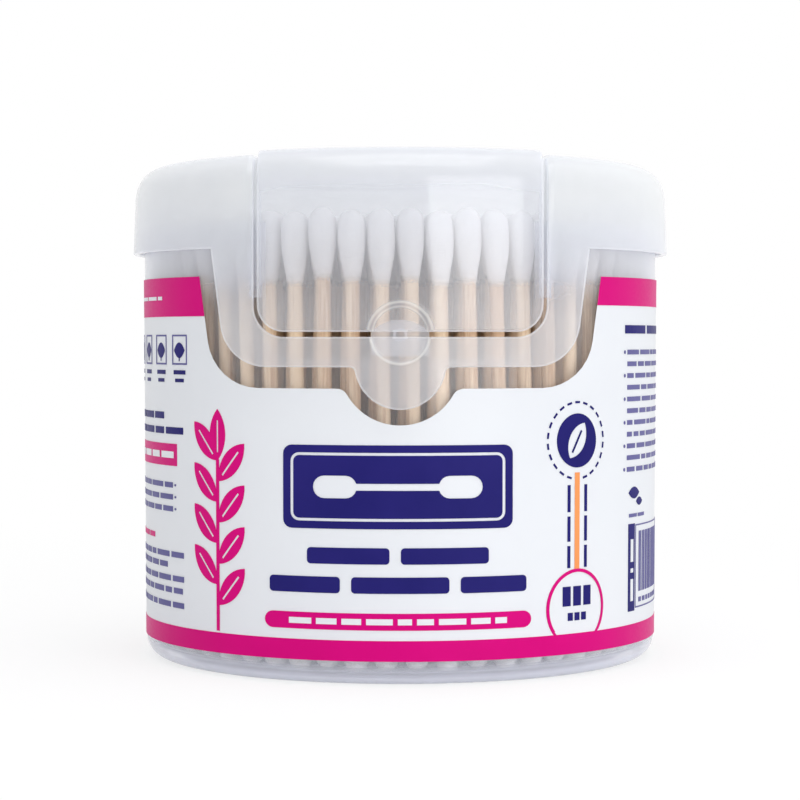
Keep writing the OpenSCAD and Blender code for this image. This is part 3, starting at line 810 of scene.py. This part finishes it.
def strip_grids(skirt, sign):
    """Flat strip of the top beside the opening, from the shoulder to the hinge line."""
    first = 0 if sign > 0 else COLUMNS
    hinge_y = HINGE_Y + HINGE_GAP
    grids = []
    for skin, z in zip(skirt, (LID_Z, LID_Z - LID_WALL)):
        grid = []
        for t in [0.0] + steps(0, 1, STRIP_ROWS):
            row = []
            left = 1 - smooth_step(STRIP_END, 1.0, t) if z == LID_Z else 0
            for c in range(REBATE_COLUMNS + 1):
                start = skin[-1][first + sign * c]
                fall = rebate_depth(start.x, LID_Z) * left
                row.append(Vector((start.x, start.y + (hinge_y - start.y) * t, z - fall)))
            grid.append(row)
        grids.append(grid)
    return grids


def lid():
    points, faces, rims = [], [], []
    skirt, skirt_full = skirt_grids(EDGE), skirt_grids(0)
    rows = len(skirt[0])
    sheet(points, faces, rims, skirt, skirt_full,
          [[(i, 0) for i in range(rows)], [(i, COLUMNS) for i in range(rows)],
           [(0, c) for c in range(BAND_STEPS, COLUMNS - BAND_STEPS + 1)]])
    band = band_grids(EDGE)
    sheet(points, faces, rims, band, band_grids(0),
          [[(i, 0) for i in range(len(band[0]))], [(i, BAND_STEPS) for i in range(len(band[0]))]])
    ends = {}
    for sign in (1, -1):
        strip = strip_grids(skirt, sign)
        loops = sheet(points, faces, rims, strip, strip_grids(skirt_full, sign),
                      [[(i, 0) for i in range(STRIP_ROWS + 1)]])
        ends[sign] = strip, loops[STRIP_ROWS, 0]
    faces.append(tuple(ends[1][1] + ends[-1][1][::-1]))
    for skin in (0, 1):
        ring = skirt[skin][-1][REBATE_COLUMNS:COLUMNS - REBATE_COLUMNS + 1]
        sides = {}
        for sign, (strip, _) in ends.items():
            grid = strip[skin]
            sides[sign] = [row[-1] for row in grid][1:] + grid[-1][-2::-1]
        loop = ring + sides[-1] + sides[1][::-1]
        start = len(points)
        points.extend(loop)
        faces.append(tuple(range(start, len(points))))
    lid_fittings(points, faces, rims)
    piece = sheet_piece("frosted_lid", points, faces, rims, LID_PLASTIC)
    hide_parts("lid")
    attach(piece, "lid")


LEDGE_HEIGHTS = (LEDGE_Z, 66, 70)       # rows of ledge and rib below the tub's rim
LEDGE_DOME_ROWS = 10
LEDGE_BITE = 0.1        # how far the rib goes into the ledge
RIM_CLEARANCE = 0.2     # between the rib and the height of the tub's rim


def ledge(points, faces, sign, root):
    """Adds the ledge behind the gap at one side of the flap, and the rib that carries it from the skirt's
    inside, at radius root."""
    inner, outer = LEDGE_R
    left, right = LEDGE_X
    path = [(outer, z, inner, z) for z in (*LEDGE_HEIGHTS, TUB_H, SHOULDER_Z - 0.4)]
    path += [(*shoulder(a, LEDGE_SIZE[1]), *shoulder(a, LEDGE_SIZE[0]))
             for a in steps(0, math.pi / 2, LEDGE_DOME_ROWS)]
    box_between(points, faces, [[on_front(sign * left, r, z), on_front(sign * right, r, z),
                                 on_front(sign * right, low_r, low_z), on_front(sign * left, low_r, low_z)]
                                for r, z, low_r, low_z in path])
    foot = inner + LEDGE_BITE
    section = ((LEDGE_RIB_X, root), (right, root), (right, foot), (LEDGE_RIB_X, foot))
    box_between(points, faces, [[on_front(sign * x, r, z) for x, r in section]
                                for z in (*LEDGE_HEIGHTS, TUB_H - RIM_CLEARANCE)])


def lid_fittings(points, faces, rims):
    """Hinge web, snap segments, ledges and stop tab with its gate mark, each a closed form on its own."""
    web_y = (HINGE_Y + HAIR, HINGE_Y + HINGE_GAP - HAIR)
    web_z = (LID_Z - HINGE_WEB_T, LID_Z - HAIR)
    box_between(points, faces, [[Vector((x, web_y[0], web_z[0])), Vector((x, web_y[1], web_z[0])),
                                 Vector((x, web_y[1], web_z[1])), Vector((x, web_y[0], web_z[1]))]
                                for x in (-FLAP_X, FLAP_X)])
    root = SKIRT_INNER_R - HAIR
    low = SKIRT_Z + SNAP_FOOT
    profile = [(r, low + rise) for r, rise in zip((root, SNAP_R, SNAP_R, root), SNAP_RISE)]
    first = math.degrees(math.asin(APRON_TOP_X / SKIRT_R))
    step = (360 - 2 * first) / SNAP_COUNT
    for i in range(SNAP_COUNT):
        rings = []
        for k in range(9):
            a = math.radians(first + step * (i + 0.5) + SNAP_TURN * (k / 8 - 0.5))
            rings.append([Vector((r * math.sin(a), -r * math.cos(a), z)) for r, z in profile])
        box_between(points, faces, rings)
    for sign in (1, -1):
        ledge(points, faces, sign, root)
    foot, root_end, crown = STOP_Z
    rings = []
    for k in range(17):
        x = STOP_X * (k / 8 - 1)
        top = crown - STOP_CROWN_R + math.sqrt(STOP_CROWN_R ** 2 - x * x)
        rings.append([on_front(x, r, z) for r, z in (
            (STOP_R[0], foot), (root, foot), (root, root_end), (STOP_R[1], root_end), (STOP_R[1], top),
            (STOP_R[0], top))])
    box_between(points, faces, rings)
    # the gate mark's faces go with the rims, so they get the painted highlight plastic
    start = len(points)
    for k in range(GATE_SIDES):
        a = TAU * k / GATE_SIDES
        for r, over in ((GATE_R[0], -HAIR), (GATE_R[0], GATE_T), (GATE_R[1], GATE_T), (GATE_R[1], -HAIR)):
            points.append(on_front(r * math.cos(a), STOP_R[1] + over, GATE_Z + r * math.sin(a)))
    for k in range(GATE_SIDES):
        a, b = start + 4 * k, start + 4 * ((k + 1) % GATE_SIDES)
        rims.extend((a + s, a + (s + 1) % 4, b + (s + 1) % 4, b + s) for s in range(4))


flap()
lid()


# Small print: fields of ink on the label. Places along the arc are in millimetres from a turn in degrees.

BADGE_RING_Z = 11.4
BADGE_RING_R = 6.17
BADGE_RING_W = 0.55
BADGE_RING_TURNS = (-37, 217)   # it ends on the band below the badge
RING_STEPS = 48
RING_PROUD = 0.01
FIELD_STEP = 1.5        # longest straight stretch of a field along the arc
PRINT_SEED = 5


def field(points, faces, turn, columns, base):
    """Adds a thin field of ink on the label. columns lists (distance along the arc, low, high)."""
    rings = []
    for u, low, high in columns:
        ring = []
        for z, over in ((high, base), (high, base + PRINT_T), (low, base + PRINT_T), (low, base)):
            r = wall_r(z) + over
            a = math.radians(turn) + u / TUB_R
            ring.append(Vector((r * math.sin(a), -r * math.cos(a), z)))
        rings.append(ring)
    box_between(points, faces, rings)


def bar(turn, start, end, low, high):
    """Field as (turn, columns) from start to end along the arc."""
    count = max(1, math.ceil((end - start) / FIELD_STEP))
    return turn, [(u, low, high) for u in [start] + steps(start, end, count)]


def lens(turn, u, z, half_w, half_h, bow=0.5):
    """Pointed leaf that lies along the arc, or a disc with bow 1."""
    columns = []
    for k in range(13):
        t = k / 6 - 1
        rise = half_h * max((1 - t * t) ** (0.5 if bow == 1 else 1), 0.02)
        columns.append((u + half_w * t, z - rise, z + rise))
    return turn, columns


def words(draw, turn, start, end, z, height, shortest=1.8, longest=5.6, gap=0.8):
    """A line of bars, as words would stand."""
    made = []
    while start < end - shortest:
        stop = start + draw.uniform(shortest, longest)
        stop = end if end - stop < shortest + gap else stop
        made.append(bar(turn, start, stop, z - height / 2, z + height / 2))
        start = stop + gap
    return made


def ring(points, faces, turn, z, r, line, start, end, base):
    """Adds an open ring of ink round a place on the label, from angle start to end."""
    rings = []
    top = base + PRINT_T + RING_PROUD
    near, far = r - line / 2, r + line / 2
    for k in range(RING_STEPS + 1):
        a = math.radians(start + (end - start) * k / RING_STEPS)
        section = []
        for own_r, over in ((near, base), (near, top), (far, top), (far, base)):
            height = z + own_r * math.sin(a)
            out = wall_r(height) + over
            b = math.radians(turn) + own_r * math.cos(a) / TUB_R
            section.append(Vector((out * math.sin(b), -out * math.cos(b), height)))
        rings.append(section)
    box_between(points, faces, rings)


def frame_of_bars(turn, start, end, low, high, line):
    return [bar(turn, start, end, low, low + line), bar(turn, start, end, high - line, high),
            bar(turn, start, start + line, low + line, high - line),
            bar(turn, end - line, end, low + line, high - line)]


def emblem_and_badge(navy):
    """Dashes beside the stick under the emblem, and the badge's blocks."""
    for turn in (37.6, 42.4):
        for low, high in ((18.0, 21.6), (22.3, 26.4), (27.1, 31.5)):
            navy.append(bar(turn, -0.32, 0.32, low, high))
    turn, z = BADGE
    navy += [bar(turn, u - 0.85, u + 0.85, z + 0.2, z + 3.4) for u in (-2.3, 0.0, 2.3)]
    navy += [bar(turn, u - 0.55, u + 0.55, z - 2.2, z - 0.9) for u in (-1.5, 0.0, 1.5)]


def right_side(draw, navy, fine):
    """A heading over lines with dots, two leaves, and a box of upright bars."""
    lines, leaves, box = 57.4, 60.4, 62.0
    navy += words(draw, 56.3, 0, 36, 56.8, 1.4, 5, 11, 1.1)
    for k in range(11):
        z = 53.0 - 1.96 * k
        fine += words(draw, lines, 0, draw.uniform(31, 37), z, 0.8)
        if k % 2 == 0:
            fine.append(lens(lines, -0.9, z, 0.3, 0.3, 1))
    navy += [lens(leaves, 0.6, 29.4, 2.2, 1.0), lens(leaves, 2.9, 27.9, 1.4, 0.7)]
    fine += words(draw, leaves, -1.4, 5.4, 25.6, 0.6, 2.0, 3.2, 0.5)
    fine += frame_of_bars(box, 0, 18.4, 9.9, 24.0, 0.22)
    u = 1.6
    while u < 16.4:
        wide = draw.choice((0.22, 0.22, 0.42, 0.62))
        fine.append(bar(box, u, u + wide, 12.6, 22.8))
        u += wide + draw.choice((0.22, 0.35, 0.5))
    fine += words(draw, box, 1.6, 16.6, 11.2, 0.8, 1.0, 1.4, 0.7)


def left_side(draw, navy, fine, magenta):
    """Four small signs in frames, over lines of three colours."""
    for turn in (-54.6, -63.6, -73.2, -83.0):
        fine += frame_of_bars(turn, -2.4, 2.4, 50.9, 55.9, 0.28)
        navy += [lens(turn, 0.0, 53.3, 1.7, 1.3), bar(turn, -0.13, 0.13, 51.5, 52.1)]
        navy += [bar(turn, -1.9, 1.9, 49.3, 50.0), bar(turn, -1.4, 1.4, 48.0, 48.6)]
    left = -53.2
    for z, from_end in ((42.4, 7.0), (39.9, 0.0)):
        navy += words(draw, left, -38, -from_end, z, 1.15, 4, 8, 0.9)
    for z in (30.8, 28.8, 26.8):
        fine += words(draw, left, -34, -3.6, z, 0.9, 2, 6, 0.8)
        fine.append(lens(left, -2.7, z, 0.3, 0.2, 1))
    magenta += words(draw, left, -32, -12, 22.0, 0.9, 3, 6, 0.8)
    for z, from_end in ((19.2, 0.0), (17.4, 5.8), (15.2, 0.0), (13.2, 0.4), (10.8, 0.0)):
        fine += words(draw, left, -35, -from_end, z, 0.95)


def on_the_fields(draw, bare):
    """Marks left bare on the fields of colour."""
    bare += words(draw, PRINT_TURN, -BANNER_HALF, BANNER_HALF, BANNER_Z, 0.95, 2.0, 5.4, 0.8)
    bare += words(draw, -62.6, -14, 0, 62.0, 0.6)
    bare += words(draw, -57.2, -34, 0, 35.85, 1.1, 3, 6, 1.0)
    bare += [bar(60.0, -0.5, 0.5, low, high) for low, high in ((11.2, 14.9), (16.0, 16.7), (17.8, 21.6))]


def small_print():
    draw = random.Random(PRINT_SEED)
    navy, fine, magenta, bare = [], [], [], []
    emblem_and_badge(navy)
    right_side(draw, navy, fine)
    left_side(draw, navy, fine, magenta)
    on_the_fields(draw, bare)
    for name, fields, material, slot, base in (
            ("small_navy_print", navy, NAVY, "navy_ink", LABEL_T),
            ("fine_navy_print", fine, FINE_NAVY, "navy_ink", LABEL_T),
            ("small_magenta_print", magenta, MAGENTA, "magenta_ink", LABEL_T),
            ("bare_marks", bare, LABEL_FILM, "label_film", LABEL_T + PRINT_T)):
        points, faces = [], []
        for turn, columns in fields:
            field(points, faces, turn, columns, base)
        if fields is magenta:
            ring(points, faces, BADGE[0], BADGE_RING_Z, BADGE_RING_R, BADGE_RING_W, *BADGE_RING_TURNS, base)
        piece = mesh_piece(name, points, faces, material, smooth=False)
        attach(piece, "tub")


small_print()


# Finish of the solids that show as they are

def finish_node(name, material):
    piece = frame["nodes"][name]
    piece.data.materials.clear()
    piece.data.materials.append(material)


for node, finish in (("tub", TUB_PLASTIC), ("label", LABEL_FILM), ("print_magenta", MAGENTA),
                     ("print_navy", NAVY), ("print_orange", ORANGE)):
    finish_node(node, finish)


# Stage, light and camera

WHITE = (1, 1, 1, 1)
FLOOR_GREY = (0.9, 0.9, 0.91, 1)
FLOOR_FADE = (0.07, 0.30)       # distances in metres between which the floor turns into the background
FLOOR_SHARES = (0.72, 1.0)      # share of the background there
FLOOR_SIZE = 12
WORLD_LEFT, WORLD_RIGHT = 0.63, 0.98    # plain light from both sides
LAMP_AIM = (0, 0, 0.045)
# Name, turn, rise, distance and size in metres, radiance
LAMPS = (("key_right", 32, 8, 1.0, (0.70, 0.85), 2.02),
         ("fill_left", -62, 12, 1.2, (0.70, 0.90), 0.3),
         ("top", 10, 78, 1.1, (0.90, 0.90), 1.7))
SHEETS_SEEN_THROUGH = 32        # thin sheets that one ray may pass


def background_seen(tree):
    """1 for rays that show the background: straight from the camera, reflected or let through."""
    rays = add(tree, "ShaderNodeLightPath").outputs
    seen = rays["Is Camera Ray"]
    for kind in ("Is Glossy Ray", "Is Transmission Ray"):
        seen = calc(tree, "MAXIMUM", seen, rays[kind])
    return seen


def floor():
    made, tree = new_tree("floor_white")
    reach = vector_calc(tree, "LENGTH", on_object(tree)).outputs["Value"]
    share = calc(tree, "MULTIPLY", spread(tree, reach, *FLOOR_SHARES, *FLOOR_FADE), background_seen(tree))
    lit = add(tree, "ShaderNodeBsdfDiffuse", {"Color": FLOOR_GREY})
    plain = add(tree, "ShaderNodeEmission", {"Color": WHITE, "Strength": 1.0})
    output(tree, mixed(tree, share, lit, plain))
    bpy.ops.mesh.primitive_plane_add(size=FLOOR_SIZE, location=(0, 0, 0))
    ground = bpy.context.object
    ground.name = "floor"
    ground.data.materials.append(made)


def world(left, right):
    """Plain light that changes from left to right, in front of a white background."""
    made = bpy.data.worlds.new("studio")
    made.use_nodes = True
    tree = made.node_tree
    tree.nodes.clear()
    way = add(tree, "ShaderNodeTexCoord").outputs["Generated"]
    side = spread(tree, part_of(tree, way, "X"), left, right, -0.8, 0.8)
    strength = spread(tree, background_seen(tree), side, 1.0, 0.0, 1.0)
    back = add(tree, "ShaderNodeBackground", {"Color": WHITE, "Strength": strength})
    add(tree, "ShaderNodeOutputWorld", {"Surface": back.outputs[0]})
    bpy.context.scene.world = made


def softbox(name, turn, rise, distance, size, radiance):
    """A lit panel that faces the object. turn counts from the camera's side to +X."""
    lamp = bpy.data.lights.new(name, "AREA")
    lamp.shape = "RECTANGLE"
    lamp.size, lamp.size_y = size
    lamp.energy = radiance * math.pi * size[0] * size[1]
    made = bpy.data.objects.new(name, lamp)
    bpy.context.scene.collection.objects.link(made)
    a, e = math.radians(turn), math.radians(rise)
    back = Vector((math.sin(a) * math.cos(e), -math.cos(a) * math.cos(e), math.sin(e)))
    made.location = Vector(LAMP_AIM) + back * distance
    made.rotation_mode = "QUATERNION"
    made.rotation_quaternion = back.to_track_quat("Z", "Y")


CAMERA_BACK = 416.0     # the eye's place, fitted to the outline of tub and lid
CAMERA_UP = 54.9
AIM = (-0.03, 0, 44.4)
FOCAL_PIXELS = 2350.0
PICTURE_PIXELS = 800.0
SENSOR = 36.0
CLIP = (0.01, 50)


def camera():
    data = bpy.data.cameras.new("camera")
    data.sensor_width = SENSOR
    data.lens = FOCAL_PIXELS / PICTURE_PIXELS * SENSOR
    data.clip_start, data.clip_end = CLIP
    made = bpy.data.objects.new("camera", data)
    bpy.context.scene.collection.objects.link(made)
    made.location = Vector((0, -CAMERA_BACK, CAMERA_UP)) * MM
    back = made.location - Vector(AIM) * MM
    made.rotation_mode = "QUATERNION"
    made.rotation_quaternion = back.to_track_quat("Z", "Y")
    bpy.context.scene.camera = made


floor()
world(WORLD_LEFT, WORLD_RIGHT)
for lamp in LAMPS:
    softbox(*lamp)
camera()

bpy.context.scene.view_settings.view_transform = "Standard"
bpy.context.scene.cycles.transparent_max_bounces = SHEETS_SEEN_THROUGH
